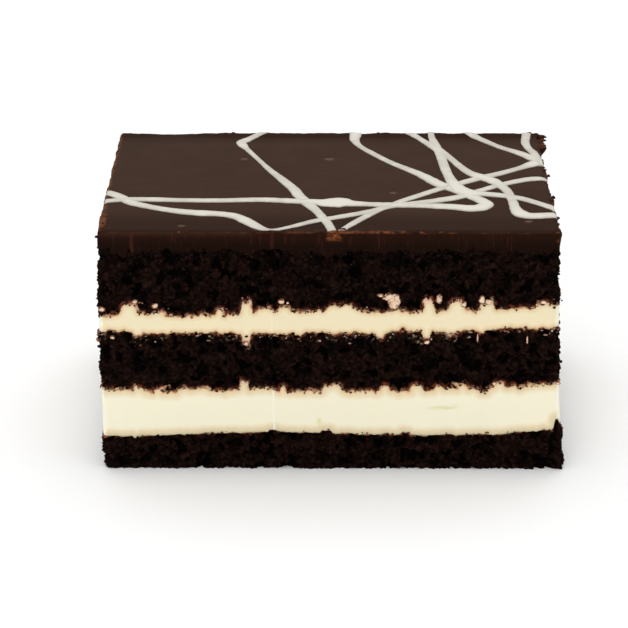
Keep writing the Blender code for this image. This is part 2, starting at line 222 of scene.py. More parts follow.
def level_height(level, x, y, along):
    """The height of the level between two layers at the cut side, with its ripples and its filled holes."""
    height = LEVELS[level]
    if level in (0, len(LEVELS) - 1):
        return height
    height += ROLL[level] * noise.noise(Vector((x / ROLL_LENGTH, y / ROLL_LENGTH, level * 7.3)))
    height += RIPPLE[level] * noise.noise(Vector((x / RIPPLE_LENGTH, y / RIPPLE_LENGTH, level * 3.1)))
    for share, length in zip(JAG_SHARES, JAG_LENGTHS):
        height += share * JAG[level] * noise.noise(Vector((x / length, y / length, level * 5.7)))
    for centre, rise, half in FRONT_SWELLS.get(level, ()):
        away = way_between(along, centre * MM + WIDTH / 2) / (half * MM)
        height += rise * MM * math.exp(-away * away)
    for centre, rise, half in FINGERS.get(level, ()):
        away = abs(way_between(along, centre)) / half
        if away < 2:
            away += 0.25 * noise.noise(Vector((along / FINGER_WAVER_LENGTH, level, 9)))
            blunt = 1 + 0.35 * noise.noise(Vector((along / FINGER_BLUNT_LENGTH, level, 4)))
            height += rise * blunt * (1 - smooth_step(away, 0.6, 1.2))
    return height


# Without a seed, noise_vector starts from the clock and the torn relief differs from run to run.
noise.seed_set(11)


def torn_crumb(point):
    """How far torn sponge stands out at a point: uneven crumbs, cracks between them, and open pores."""
    warped = point + WARP * noise.noise_vector(point / WARP_SIZE)
    near, _ = noise.voronoi(warped / CRUMB_SIZE)
    bits, _ = noise.voronoi(warped / BIT_SIZE)
    crumb = CRUMB_RISE * (0.5 - near[0]) + BIT_RISE * (0.5 - bits[0])
    crack = -CRACK_DEPTH * (1 - smooth_step(near[1] - near[0], 0, 0.25))
    pore = -PORE_DEPTH * smooth_step(noise.noise(warped / PORE_SIZE), 0.14, 0.5)
    patch = PATCH_RISE * (1.6 * noise.noise(point / PATCH_SIZE) - 0.25)
    grit = GRIT_RISE * noise.noise(point / GRIT_SIZE)
    return SPONGE_PROUD + crumb + crack + pore + patch + grit


def close_over(bm, level, height):
    """Closes one rim of a wall with a fan to a point on the bar's axis, hidden by the next layer."""
    rim = [edge for edge in bm.edges if edge.is_boundary and all(v[level] for v in edge.verts)]
    grown = bmesh.ops.extrude_edge_only(bm, edges=rim)["geom"]
    inner = [item for item in grown if isinstance(item, bmesh.types.BMVert)]
    centre = Vector((MIDDLE.x + lean_at(height), MIDDLE.y, height))
    bmesh.ops.pointmerge(bm, verts=inner, merge_co=centre)


def to_next_layer(edge, step, height, cell, way):
    """How far a point of the cut side is from the next layer, sideways too, where holes are filled."""
    straight = way * (height - edge[step])
    if straight > EDGE_LOOK * cell * 2:
        return straight
    nearest = straight
    for k in range(-EDGE_LOOK, EDGE_LOOK + 1):
        beyond = max(0, way * (height - edge[(step + k) % len(edge)]))
        nearest = min(nearest, math.hypot(k * cell, beyond))
    return nearest


def blurred(edge):
    """An edge between two layers without its filled holes: each height the mean of those around it."""
    around = range(-BLUR_LOOK, BLUR_LOOK + 1)
    return [sum(edge[(step + k) % len(edge)] for k in around) / len(around) for step in range(len(edge))]


def wall_of(index, cell, rows, shape):
    """The cut side of a layer all the way round: a grid wrapped round the bar, with its seam merged.

    shape(x, y, along, low, high, share) gives a vertex's height and how far it stands out. The marks that the
    finishes read say how near the next layer is, how far the vertex stands out, how far into a filled hole it
    lies, and how near it is to the lower filling's foot, which the cream's finish darkens as painted shade,
    or to the middle sponge's upper edge, where cream is smeared.
    """
    bm = bmesh.new()
    points = outline(cell)
    bmesh.ops.create_grid(bm, x_segments=len(points), y_segments=rows, size=0.5)
    lower, upper = bm.verts.layers.int.new("lower_rim"), bm.verts.layers.int.new("upper_rim")
    near_cream, proud = bm.verts.layers.float.new("near_cream"), bm.verts.layers.float.new("proud")
    finger, dragged = bm.verts.layers.float.new("finger"), bm.verts.layers.float.new("dragged")
    lows = [level_height(index, *p) for p in points]
    highs = [level_height(index + 1, *p) for p in points]
    mean_lows, mean_highs = blurred(lows), blurred(highs)
    for vertex in bm.verts:
        step = round((vertex.co.x + 0.5) * len(points)) % len(points)
        share = vertex.co.y + 0.5
        x, y, along = points[step]
        height, out = shape(x, y, along, lows[step], highs[step], share)
        vertex[lower], vertex[upper] = share < 0.001, share > 0.999
        from_low = to_next_layer(lows, step, height, cell, 1) if index in CREAM_EDGES else 1
        from_high = to_next_layer(highs, step, height, cell, -1) if index + 1 in CREAM_EDGES else 1
        vertex[near_cream] = min(from_low, from_high) * (BASE_NARROWED if index == 0 else 1)
        vertex[finger] = max(height - mean_highs[step], mean_lows[step] - height)
        if index in (1, 2):
            # Near the lower filling's foot, which its finish darkens as painted shade, or near the middle
            # sponge's upper edge, where cream is smeared.
            vertex[dragged] = 1 - smooth_step((from_low, from_high)[index - 1], 0, SMEAR_OR_SHADE_REACH)
        vertex[proud] = out
        vertex.co = (*stand(x, y, height, out), height)
    bmesh.ops.remove_doubles(bm, verts=bm.verts, dist=1e-7)
    return bm, lower, upper


def new_object(name, data):
    made = bpy.data.objects.new(name, data)
    bpy.context.scene.collection.objects.link(made)
    return made


def finish_piece(bm, name, material, node=None):
    """Makes the mesh an object that rides on the cake, with its material, and hides the CAD part that it
    replaces, if one is named.
    """
    mesh = bpy.data.meshes.new(name)
    bm.to_mesh(mesh)
    bm.free()
    mesh.shade_smooth()
    mesh.materials.append(material)
    piece = new_object(name, mesh)
    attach(piece, "root")
    if node:
        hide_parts(node)


def grain(tree, size, detail, stretch=(1, 1, 1)):
    """A noise on object coordinates with features of a real size, in metres."""
    place = tree.nodes.new("ShaderNodeTexCoord")
    mapping = tree.nodes.new("ShaderNodeMapping")
    mapping.inputs["Scale"].default_value = stretch
    pattern = tree.nodes.new("ShaderNodeTexNoise")
    pattern.inputs["Scale"].default_value = 1 / size
    pattern.inputs["Detail"].default_value = detail
    tree.links.new(place.outputs["Object"], mapping.inputs["Vector"])
    tree.links.new(mapping.outputs["Vector"], pattern.inputs["Vector"])
    return pattern.outputs["Fac"]


def remap(tree, source, low, high, to_low=0, to_high=1):
    """Stretches the part of a value between low and high over a new range."""
    node = tree.nodes.new("ShaderNodeMapRange")
    node.inputs["From Min"].default_value = low
    node.inputs["From Max"].default_value = high
    node.inputs["To Min"].default_value = to_low
    node.inputs["To Max"].default_value = to_high
    tree.links.new(source, node.inputs["Value"])
    return node.outputs["Result"]


def find_share(tree, share):
    """The output for a share: a mark, a mark between two values, a pattern's patches, or their product."""
    if isinstance(share, str):
        node = tree.nodes.new("ShaderNodeAttribute")
        node.attribute_name = share
        return node.outputs["Fac"]
    if isinstance(share, list):
        product = find_share(tree, share[0])
        for factor in share[1:]:
            node = tree.nodes.new("ShaderNodeMath")
            node.operation = "MULTIPLY"
            tree.links.new(product, node.inputs[0])
            tree.links.new(find_share(tree, factor), node.inputs[1])
            product = node.outputs["Value"]
        return product
    if isinstance(share[0], str):
        return remap(tree, find_share(tree, share[0]), *share[1:])
    size, detail, low, high, *rest = share
    return remap(tree, grain(tree, size, detail, *rest[2:]), low, high, *rest[:2])


def coat(tree, colour, coats):
    """Lays colours over one in turn, each as far as its share says. A pair is a colour with its own coats."""
    for share, above in coats:
        if len(above) == 2:
            above = coat(tree, *above)
        node = tree.nodes.new("ShaderNodeMix")
        node.data_type = "RGBA"
        tree.links.new(find_share(tree, share), node.inputs["Factor"])
        for socket, part in ((node.inputs[6], colour), (node.inputs[7], above)):
            if isinstance(part, tuple):
                socket.default_value = (*part, 1)
            else:
                tree.links.new(part, socket)
        colour = node.outputs[2]
    return colour


def new_finish(name, sheen, colour, coats=(), relief=None):
    """A material with plain values for its sheen, a colour with coats over it, and fine relief."""
    material = bpy.data.materials.new(name)
    material.use_nodes = True
    tree = material.node_tree
    shader = tree.nodes["Principled BSDF"]
    for socket, value in sheen.items():
        shader.inputs[socket].default_value = value
    shader.inputs["Base Color"].default_value = (*colour, 1)
    if coats:
        tree.links.new(coat(tree, colour, coats), shader.inputs["Base Color"])
    if relief:
        depth, *pattern = relief
        bump = tree.nodes.new("ShaderNodeBump")
        bump.inputs["Strength"].default_value = 1
        bump.inputs["Distance"].default_value = depth
        tree.links.new(grain(tree, *pattern), bump.inputs["Height"])
        tree.links.new(bump.outputs["Normal"], shader.inputs["Normal"])
    return material


def torn_side(x, y, along, low, high, share):
    height = low + share * (high - low)
    return height, torn_crumb(Vector((x, y, height)))


chocolate_crumb = new_finish("chocolate_crumb", SPONGE_SHEEN, SPONGE_DARK, SPONGE_COATS, SPONGE_RELIEF)


def add_sponge(index, name, node):
    """One sponge, its torn side all the way round and its hidden flat faces closed."""
    rows = round((LEVELS[index + 1] - LEVELS[index]) / SPONGE_CELL)
    bm, lower, upper = wall_of(index, SPONGE_CELL, rows, torn_side)
    close_over(bm, lower, LEVELS[index])
    close_over(bm, upper, LEVELS[index + 1])
    bmesh.ops.recalc_face_normals(bm, faces=bm.faces)
    finish_piece(bm, name, chocolate_crumb, node)


add_sponge(0, "torn_base_sponge", "base_sponge")


# Lower cream: a thick filling of pale vanilla cream, spread over the base sponge and chilled before the
# cut. The knife left it smooth, with a thin upright line where it stopped, and two shallow drag marks. A
# painted highlight lies on that line and on the sharp corners, and painted shade darkens it towards its foot.
CREAM_ROW = 0.55 * MM
CREAM_SUNK = 0.12 * MM
CREAM_WAVE, CREAM_WAVE_LENGTH = mm(0.14, 11)
KNIFE_LINE_X, KNIFE_LINE_HALF, KNIFE_LINE_RISE = mm(-15.5, 0.25, 0.16)
# Marks that the knife dragged in it: x, height, half width, half height and depth in millimetres.
DRAG_MARKS = ((31.2, 18.8, 5.8, 0.55, 0.3), (-3.3, 14.6, 0.9, 1.3, 0.15))
LOWER_CREAM, LOWER_CREAM_DEEP = (0.95, 0.89, 0.69), 2.7 * MM
CREAM_DEEPER = (0.79, 0.58, 0.30)
CREAM_TAN = (0.52, 0.21, 0.10)
CREAM_TIP = (0.80, 0.53, 0.40)
# Painted shade: a greyish tan that darkens the lower filling towards its foot.
CREAM_FOOT_SHADE = (0.74, 0.65, 0.42)
CREAM_DRAGGED = (0.80, 0.77, 0.42)
# Painted highlight: a near-white cream laid on the sharp corners and the knife line.
CREAM_HIGHLIGHT = (1.0, 0.97, 0.80)
CREAM_COATS = (
    (("finger", 0.2 * MM, 1.6 * MM), CREAM_TIP),
    ([("near_cream", 0.55 * MM, 0.1 * MM), (1.2 * MM, 5, 0.40, 0.58)], CREAM_TAN),
    # painted shade, growing towards the lower filling's foot
    (["dragged", "dragged"], CREAM_FOOT_SHADE),
    ("drag_mark", CREAM_DRAGGED),
    # painted highlight on the corners and the knife line
    ("bright", CREAM_HIGHLIGHT),
)
CREAM_RELIEF = (0.05 * MM, 0.9 * MM, 4)
CREAM_SHEEN = {
    "Roughness": 0.5,
    "Specular IOR Level": 0.3,
    "Subsurface Weight": 0.25,
    "Subsurface Radius": (1.0, 0.72, 0.40),
    "Subsurface Scale": 0.6 * MM,
}
# Painted highlight on the fillings' sharp corners: full near the corner, gone a little further in, with a
# ragged border.
CORNER_BRIGHT, CORNER_PALE, CORNER_RAGGED, CORNER_RAGGED_LENGTH = mm(0.55, 1.3, 0.35, 0.8)


def knife_cut(x, y, along, low, high, share):
    """A smooth cut with a faint swell, and the knife's stopping line and drag marks on the front."""
    height = low + share * (high - low)
    out = CREAM_WAVE * noise.noise(Vector((x, y, height * 0.6)) / CREAM_WAVE_LENGTH) - CREAM_SUNK
    if y <= -DEPTH / 2:
        line = abs(x - KNIFE_LINE_X) / KNIFE_LINE_HALF
        out += KNIFE_LINE_RISE * math.exp(-line * line)
        for at_x, at_z, half_x, half_z, depth in DRAG_MARKS:
            away = math.hypot((x / MM - at_x) / half_x, (height / MM - at_z) / half_z)
            out -= depth * MM * (1 - smooth_step(away, 0.2, 1.1))
    return height, out


def mark_cream(bm, line_highlight):
    """Marks a painted highlight on the knife line and the sharp corners, and the drag marks, which the
    material colours.
    """
    bright = bm.verts.layers.float.new("bright")
    drag_mark = bm.verts.layers.float.new("drag_mark")
    for vertex in bm.verts:
        x, y, z = vertex.co.x - MIDDLE.x - lean_at(vertex.co.z), vertex.co.y - MIDDLE.y, vertex.co.z
        spread = 1 + SLUMP * (1 - z / HEIGHT)
        from_corner = math.hypot(abs(x) - WIDTH / 2 * spread, abs(y) - DEPTH / 2 * spread)
        ragged = CORNER_RAGGED * noise.noise(Vector((x, y, z)) / CORNER_RAGGED_LENGTH)
        at_corner = 1 - smooth_step(from_corner + ragged, CORNER_BRIGHT, CORNER_PALE)
        line = abs(x - KNIFE_LINE_X * spread) / KNIFE_LINE_HALF if y < 0 else 9
        # A painted highlight, full at the sharp corners and weaker on the knife line.
        vertex[bright] = max(at_corner, line_highlight * math.exp(-line * line))
        for at_x, at_z, half_x, half_z, _ in DRAG_MARKS:
            away = math.hypot((x / MM - at_x) / half_x, (z / MM - at_z) / half_z)
            if y < 0:
                vertex[drag_mark] = max(vertex[drag_mark], 1 - smooth_step(away, 0.3, 1.1))


def add_cream(index, name, node, middle, deep, line_highlight):
    """One filling, smooth all the way round, with the jagged edges that the torn sponges give it."""
    rows = round((LEVELS[index + 1] - LEVELS[index]) / CREAM_ROW)
    bm, lower, upper = wall_of(index, SPONGE_CELL, rows, knife_cut)
    close_over(bm, lower, LEVELS[index])
    close_over(bm, upper, LEVELS[index + 1])
    mark_cream(bm, line_highlight)
    bmesh.ops.recalc_face_normals(bm, faces=bm.faces)
    coats = ((("near_cream", deep, 0), CREAM_DEEPER), *CREAM_COATS)
    finish_piece(bm, name, new_finish(name, CREAM_SHEEN, middle, coats, CREAM_RELIEF), node)


add_cream(1, "spread_lower_cream", "lower_cream", LOWER_CREAM, LOWER_CREAM_DEEP, 1)

# Middle sponge: a second sheet of the same chocolate sponge, laid on the lower filling. The knife tore its
# cut sides too, and left lacy smears of the upper filling along their upper edges.
add_sponge(2, "torn_middle_sponge", "middle_sponge")

# Upper cream: a filling less than half as thick as the lower one, of the same vanilla cream, spread on the
# middle sponge. It looks deeper in colour, and the painted highlight on the knife's line is fainter on it.
UPPER_CREAM, UPPER_CREAM_DEEP = (0.895, 0.785, 0.54), 1.6 * MM
UPPER_LINE_HIGHLIGHT = 0.35
add_cream(3, "spread_upper_cream", "upper_cream", UPPER_CREAM, UPPER_CREAM_DEEP, UPPER_LINE_HIGHLIGHT)

# Top sponge: the thickest of the three sheets, of the same sponge, laid on the upper filling and cut by the
# same stroke of the knife. The glaze was poured over it.
add_sponge(4, "torn_top_sponge", "top_sponge")


# Chocolate glaze: ganache poured over the chilled slab and cut with it. It set satin and nearly flat, with
# a few dimples and a low lip at the back. The cut left a slim rounded rim, fine upright streaks, one curled
# flap and one broken spot on the front, and a torn chunk at the back right corner. Painted highlights lie
# along the rim, and painted shade in bands along the top's front, front right and back.
GLAZE_CELL = 0.42 * MM
GLAZE_ROWS, ROW_CROWDING = 20, 1.7
RIM = 0.45 * MM
RIM_LUMP, RIM_LUMP_LENGTH, RIM_LUMP_REACH = mm(0.60, 2.4, 1.4)
RIM_STEP_X, RIM_STEP, RIM_RAISED = mm(20.5, 0.35, 0.35)
STREAK_RISE, STREAK_LENGTH = mm(0.10, 0.9)
FOOT_REACH, FOOT_TEAR = 1.1 * MM, 0.7
GLAZE_SWELL, GLAZE_SWELL_LENGTH = mm(0.10, 18)
LIP_RISE, LIP_REACH, LIP_GAP_X, LIP_GAP_HALF = mm(0.55, 3.2, -48, 9)
CHIP_X, CHIP_HALF_X, CHIP_FOOT, CHIP_DEPTH, CHIP_DIP = mm(1.3, 2.0, 68.5, 0.7, 0.3)
# Upright ridges that the knife left on the front, the first the edge of a curled flap: x, lowest and
# highest height, half width and rise in millimetres, and how light each is.
GLAZE_RIDGES = ((-53.3, 62.8, 70.9, 0.36, 0.45, 1.0), (-15.4, 65.6, 71.0, 0.26, 0.20, 0.9),
                (-11.7, 66.8, 70.6, 0.24, 0.10, 0.5), (-9.5, 67.0, 70.0, 0.24, 0.10, 0.4),
                (-2.7, 66.6, 70.4, 0.26, 0.12, 0.5), (5.8, 66.4, 70.0, 0.24, 0.10, 0.35),
                (21.5, 66.0, 69.4, 0.24, 0.08, 0.3))
RIDGE_BEND, RIDGE_MIDDLE, RIDGE_FADE_LOW, RIDGE_FADE_HIGH = 0.02, 68, 1.6, 0.3
FLAP_X, FLAP_RISE = mm(-53.3, 0.22)
# Dimples in the top: x, y, radius and depth in millimetres.
DIMPLES = ((-24.6, 18.5, 1.0, 0.25), (0.3, 18.5, 1.3, 0.3), (18.2, -9.5, 0.9, 0.2), (-40, -35, 0.9, 0.3),
           (54.5, -31.5, 1.0, 0.25))
# Breaks in the rim: way round the bar, how far they stand out, and half width, in millimetres.
RIM_BREAKS = ((199.5, 1.9, 6.6), (207.4, -1.8, 0.9), (173, 0.4, 3.0), (182, 0.3, 2.0), (150, 0.5, 2.4),
              (126, 0.4, 2.5))
RIM_TEAR, RIM_TEAR_LENGTH, RIM_TEAR_REACH = mm(0.30, 0.9, 1.5)
GLAZE_COLOUR = (0.0365, 0.0172, 0.0094)
GLAZE_MOTTLE = (0.0430, 0.0208, 0.0120)
# Painted shade: a darker brown for bands along the top's front, front right and back.
GLAZE_PAINTED_SHADE = (0.0240, 0.0092, 0.0040)
GLAZE_DIMPLE = (0.11, 0.075, 0.050)
GLAZE_SHOULDER = (0.0300, 0.0120, 0.0062)
GLAZE_CUT_HIGH = (0.0185, 0.0064, 0.0031)
GLAZE_CUT_LOW = (0.0100, 0.0038, 0.0022)
GLAZE_STREAK = (0.056, 0.0150, 0.0105)
# Painted highlights: lighter reddish browns along the rim, and in a wider band on the left edge.
GLAZE_RIM_HIGHLIGHT = (0.210, 0.063, 0.029)
GLAZE_LEFT_RIM_HIGHLIGHT = (0.120, 0.048, 0.019)
GLAZE_CHIP = (0.230, 0.068, 0.022)
GLAZE_CHIP_DARK = (0.050, 0.0150, 0.0070)
GLAZE_COATS = (
    ((9 * MM, 4, 0.35, 0.7), GLAZE_MOTTLE),
    # painted shade in bands along the front, front right and back
    ("front_band", GLAZE_PAINTED_SHADE),
    ("dimple", GLAZE_DIMPLE),
    ("cut_side", (GLAZE_CUT_HIGH, (
        ("down", GLAZE_CUT_LOW),
        ("shoulder", GLAZE_SHOULDER),
        ([(0.4 * MM, 2, 0.59, 0.71, 0, 0.9, (1, 1, 0.06)), (7 * MM, 2, 0.42, 0.6, 0, 1, (1, 1, 0.3))],
         GLAZE_STREAK),
        ("ridge", GLAZE_STREAK),
    ))),
    # painted highlights along the rim, broken into patches
    (["rim", (2.4 * MM, 6, 0.42, 0.60)], GLAZE_RIM_HIGHLIGHT),
    (["warm_rim", (1.2 * MM, 5, 0.36, 0.56, 0.25, 1)], GLAZE_LEFT_RIM_HIGHLIGHT),
    ("chip", (GLAZE_CHIP_DARK, (((0.9 * MM, 4, 0.42, 0.60, 0, 1, (0.6, 1, 1.4)), GLAZE_CHIP),))),
)
GLAZE_RELIEF = (0.06 * MM, 1.0 * MM, 4, (1, 1, 0.15))
GLAZE_SHEEN = {"Roughness": 0.4, "Specular IOR Level": 0.02}


def way_round(x, y):
    """The way round the bar of the border's point nearest to a point of the top."""
    if DEPTH / 2 - abs(y) < WIDTH / 2 - abs(x):
        return x + WIDTH / 2 if y < 0 else WIDTH * 1.5 + DEPTH - x
    return WIDTH + DEPTH / 2 + y if x > 0 else 2 * WIDTH + DEPTH * 1.5 - y


def rim_lump(x, y):
    """How far the rim is worn down: in lumps of two sizes, least at the back and at the front's middle."""
    lump = RIM_LUMP * (0.25 + noise.noise(Vector((x, y, 0)) / RIM_LUMP_LENGTH))
    lump += 0.5 * RIM_LUMP * noise.noise(Vector((x, y, 40 * MM)) / (0.4 * RIM_LUMP_LENGTH))
    front = smooth_step(-y, DEPTH / 2 - 3 * MM, DEPTH / 2 - 1 * MM)
    step = smooth_step(abs(x), RIM_STEP_X, RIM_STEP_X + 0.8 * MM)
    lump += front * (RIM_STEP * step - RIM_RAISED * (1 - step))
    return max(-RIM_RAISED * front, lump) * (1 - 0.75 * smooth_step(y, DEPTH / 2 - 3 * MM, DEPTH / 2))


def top_height(x, y):
    """The height of the glaze's top inside its rim: a swell, dimples and a low lip along the back."""
    inside = min(WIDTH / 2 - abs(x), DEPTH / 2 - abs(y))
    height = HEIGHT - rim_lump(x, y) * (1 - smooth_step(inside, 0, RIM_LUMP_REACH))
    swell = GLAZE_SWELL * smooth_step(inside, 0, 6 * MM)
    height += swell * noise.noise(Vector((x, y, 3)) / GLAZE_SWELL_LENGTH)
    for at_x, at_y, radius, depth in DIMPLES:
        away = math.hypot(x / MM - at_x, y / MM - at_y) / radius
        height -= depth * MM * math.exp(-away * away)
    gap = (x - LIP_GAP_X) / LIP_GAP_HALF
    lip = LIP_RISE * (1 - 0.9 * math.exp(-gap * gap)) * (1 + 0.5 * noise.noise(Vector((x / (7 * MM), 2, 5))))
    return height + lip * smooth_step(y, DEPTH / 2 - LIP_REACH, DEPTH / 2)


def rim_height(x, y, along):
    """The height of the rim itself, lumpy and dipped where it is broken."""
    chip = 1 - smooth_step(abs(way_between(along, CHIP_X + WIDTH / 2)) / CHIP_HALF_X, 0.7, 1.1)
    return top_height(x, y) - CHIP_DIP * chip


def on_ridge(x, z, ridge):
    """How much a point of the front lies on an upright ridge, which bends a little and fades at its ends."""
    at_x, low, high, half, _, _ = ridge
    away = (x / MM - at_x - RIDGE_BEND * (z / MM - RIDGE_MIDDLE) ** 2) / half
    whole = smooth_step(z / MM, low, low + RIDGE_FADE_LOW)
    return math.exp(-away * away) * whole * (1 - smooth_step(z / MM, high - RIDGE_FADE_HIGH, high))


def in_chip(x, z):
    """How much a point of the front lies in the broken spot, whose border is ragged."""
    ragged = 0.25 * noise.noise(Vector((x, z, 1)) / (0.9 * MM))
    across = 1 - smooth_step(abs(x - CHIP_X) / CHIP_HALF_X + ragged, 0.8, 1.1)
    return across * smooth_step(z + 0.4 * MM * ragged, CHIP_FOOT - 0.1 * MM, CHIP_FOOT + 0.4 * MM)


def glaze_cut(x, y, along, low, high, share):
    """The glaze's cut side, ragged where it meets the sponge and rounded over into its top."""
    height = low + (1 - (1 - share) ** ROW_CROWDING) * (high - low)
    point = Vector((x, y, height))
    out = STREAK_RISE * noise.noise(Vector((x / STREAK_LENGTH, y / STREAK_LENGTH, height / (9 * MM))))
    out += 0.2 * MM * (1.6 * noise.noise(point / PATCH_SIZE) - 0.25)
    out += FOOT_TEAR * torn_crumb(point) * (1 - smooth_step(height - low, 0.3 * MM, FOOT_REACH))
    if y <= -DEPTH / 2:
        out += FLAP_RISE * (1 - smooth_step(x, FLAP_X - 0.4 * MM, FLAP_X + 0.1 * MM))
        for ridge in GLAZE_RIDGES:
            out += ridge[4] * MM * on_ridge(x, height, ridge)
        out -= CHIP_DEPTH * in_chip(x, height) * (0.6 + 0.8 * noise.noise(point / (0.9 * MM)))
    turn = max(0, (height - (HEIGHT - RIM)) / RIM)
    out = out * (1 - turn) - RIM * (1 - math.cos(turn * math.pi / 2))
    if turn > 0:
        drop = RIM * (1 - math.sin(turn * math.pi / 2))
        height = HEIGHT - drop + (rim_height(x, y, along) - HEIGHT) * turn
    return height, out


def glaze_top(bm, cell):
    """The poured top: a grid whose border falls on the rim of the cut side."""
    count_x, count_y = round(WIDTH / cell), round(DEPTH / cell)
    made = bmesh.ops.create_grid(bm, x_segments=count_x, y_segments=count_y, size=0.5)["verts"]
    for vertex in made:
        x, y = vertex.co.x * WIDTH, vertex.co.y * DEPTH
        on_rim = min(WIDTH / 2 - abs(x), DEPTH / 2 - abs(y)) < 1e-6
        height = rim_height(x, y, way_round(x, y)) if on_rim else top_height(x, y)
        vertex.co = (*stand(x, y, HEIGHT, -RIM), height)


def mark_glaze(bm):
    """Marks the cut side, the way down it, its shoulder, the bands of painted shade, the rims' painted
    highlights, broken spot and the rest.
    """
    names = ("cut_side", "down", "shoulder", "front_band", "rim", "warm_rim", "chip", "ridge", "dimple")
    marks = [bm.verts.layers.float.new(name) for name in names]
    cut, down, shoulder, shade_band, rim, left_highlight, chip, ridged, dimple = marks
    for vertex in bm.verts:
        x, y, z = vertex.co.x - MIDDLE.x - LEAN[-1], vertex.co.y - MIDDLE.y, vertex.co.z
        inside, below = min(WIDTH / 2 - abs(x), DEPTH / 2 - abs(y)), HEIGHT - z
        at_front, at_left = y < 1.5 * MM - DEPTH / 2, x < 2.5 * MM - WIDTH / 2
        vertex[cut] = smooth_step(below, 0.2 * MM, 0.5 * MM)
        vertex[down] = smooth_step(below, 0.3 * MM, 4.5 * MM)
        # Painted shade: bands darker along the top's front, its front right and its back.
        right = 0.45 * smooth_step(x, 20 * MM, 50 * MM) * smooth_step(-y, -10 * MM, 20 * MM)
        back = 0.8 * smooth_step(y, DEPTH / 2 - 11 * MM, DEPTH / 2 - 2 * MM)
        vertex[shade_band] = max(smooth_step(-y, DEPTH / 2 - 20 * MM, DEPTH / 2 - 6 * MM), right, back)
        soft = 1 - smooth_step(x, -24 * MM, -17 * MM)
        vertex[shoulder] = soft * (1 - smooth_step(below, 0.5 * MM, 1.9 * MM))
        # Painted highlights along the rim: a wider warm band on the left edge, strongest on the front's
        # middle and right.
        wide = 1.3 * MM * smooth_step(-y, 12 * MM, 30 * MM)
        on_top = 1 - smooth_step(below, 0.25 * MM, 0.5 * MM)
        if at_left and not at_front:
            vertex[left_highlight] = on_top * (1 - smooth_step(inside, 0.6 * MM, 1.0 * MM))
            vertex[rim] = 0.6 * on_top * (1 - smooth_step(inside, 0.1 * MM + wide, 0.7 * MM + wide))
        else:
            glow = (x - 15 * MM) / (21 * MM)
            strength = 0.16 + 0.76 * math.exp(-glow * glow) if at_front else 0.4
            vertex[rim] = strength * on_top * (1 - smooth_step(inside, 0.2 * MM, 0.5 * MM))
        if at_front:
            vertex[chip] = in_chip(x, z) * (1 - smooth_step(inside, 0.5 * MM, 1.0 * MM))
            vertex[ridged] = max(light * on_ridge(x, z, (*ridge, light)) for *ridge, light in GLAZE_RIDGES)
        for at_x, at_y, radius, _ in DIMPLES:
            away = math.hypot((x / MM - at_x) / 1.4, y / MM - at_y) / radius
            vertex[dimple] = max(vertex[dimple], 1 - smooth_step(away, 0.4, 1.0))


def break_rim(bm):
    """Pushes the glaze's edge about, most at the rim and least at its foot: ragged all round, and broken."""
    for vertex in bm.verts:
        x, y = vertex.co.x - MIDDLE.x - LEAN[-1], vertex.co.y - MIDDLE.y
        if min(WIDTH / 2 - abs(x), DEPTH / 2 - abs(y)) > 6 * MM:
            continue
        along = way_round(x, y)
        out = RIM_TEAR * noise.noise(Vector((along / RIM_TEAR_LENGTH, 1, 8)))
        out *= 0.4 if y < 0 and DEPTH / 2 + y < 2 * MM else 1.6
        for centre, reach, half in RIM_BREAKS:
            away = abs(way_between(along, centre * MM)) / (half * MM)
            jag = 1 + 0.7 * noise.noise(Vector((along / (0.8 * MM), 4, centre)))
            out += reach * MM * jag * (1 - smooth_step(away, 0.75, 1.1))
        out *= smooth_step(vertex.co.z, LEVELS[-2], HEIGHT - RIM)
        vertex.co.x += math.copysign(out * math.exp(min(0, abs(x) - WIDTH / 2) / RIM_TEAR_REACH), x)
        vertex.co.y += math.copysign(out * math.exp(min(0, abs(y) - DEPTH / 2) / RIM_TEAR_REACH), y)


chocolate_ganache = new_finish("chocolate_ganache", GLAZE_SHEEN, GLAZE_COLOUR, GLAZE_COATS, GLAZE_RELIEF)


def add_glaze():
    bm, lower, _ = wall_of(len(LEVELS) - 2, GLAZE_CELL, GLAZE_ROWS, glaze_cut)
    close_over(bm, lower, LEVELS[-2])
    glaze_top(bm, GLAZE_CELL)
    open_rim = [vertex for vertex in bm.verts if any(edge.is_boundary for edge in vertex.link_edges)]
    bmesh.ops.remove_doubles(bm, verts=open_rim, dist=0.01 * MM)
    mark_glaze(bm)
    break_rim(bm)
    bmesh.ops.recalc_face_normals(bm, faces=bm.faces)
    finish_piece(bm, "poured_glaze", chocolate_ganache, "chocolate_glaze")


add_glaze()

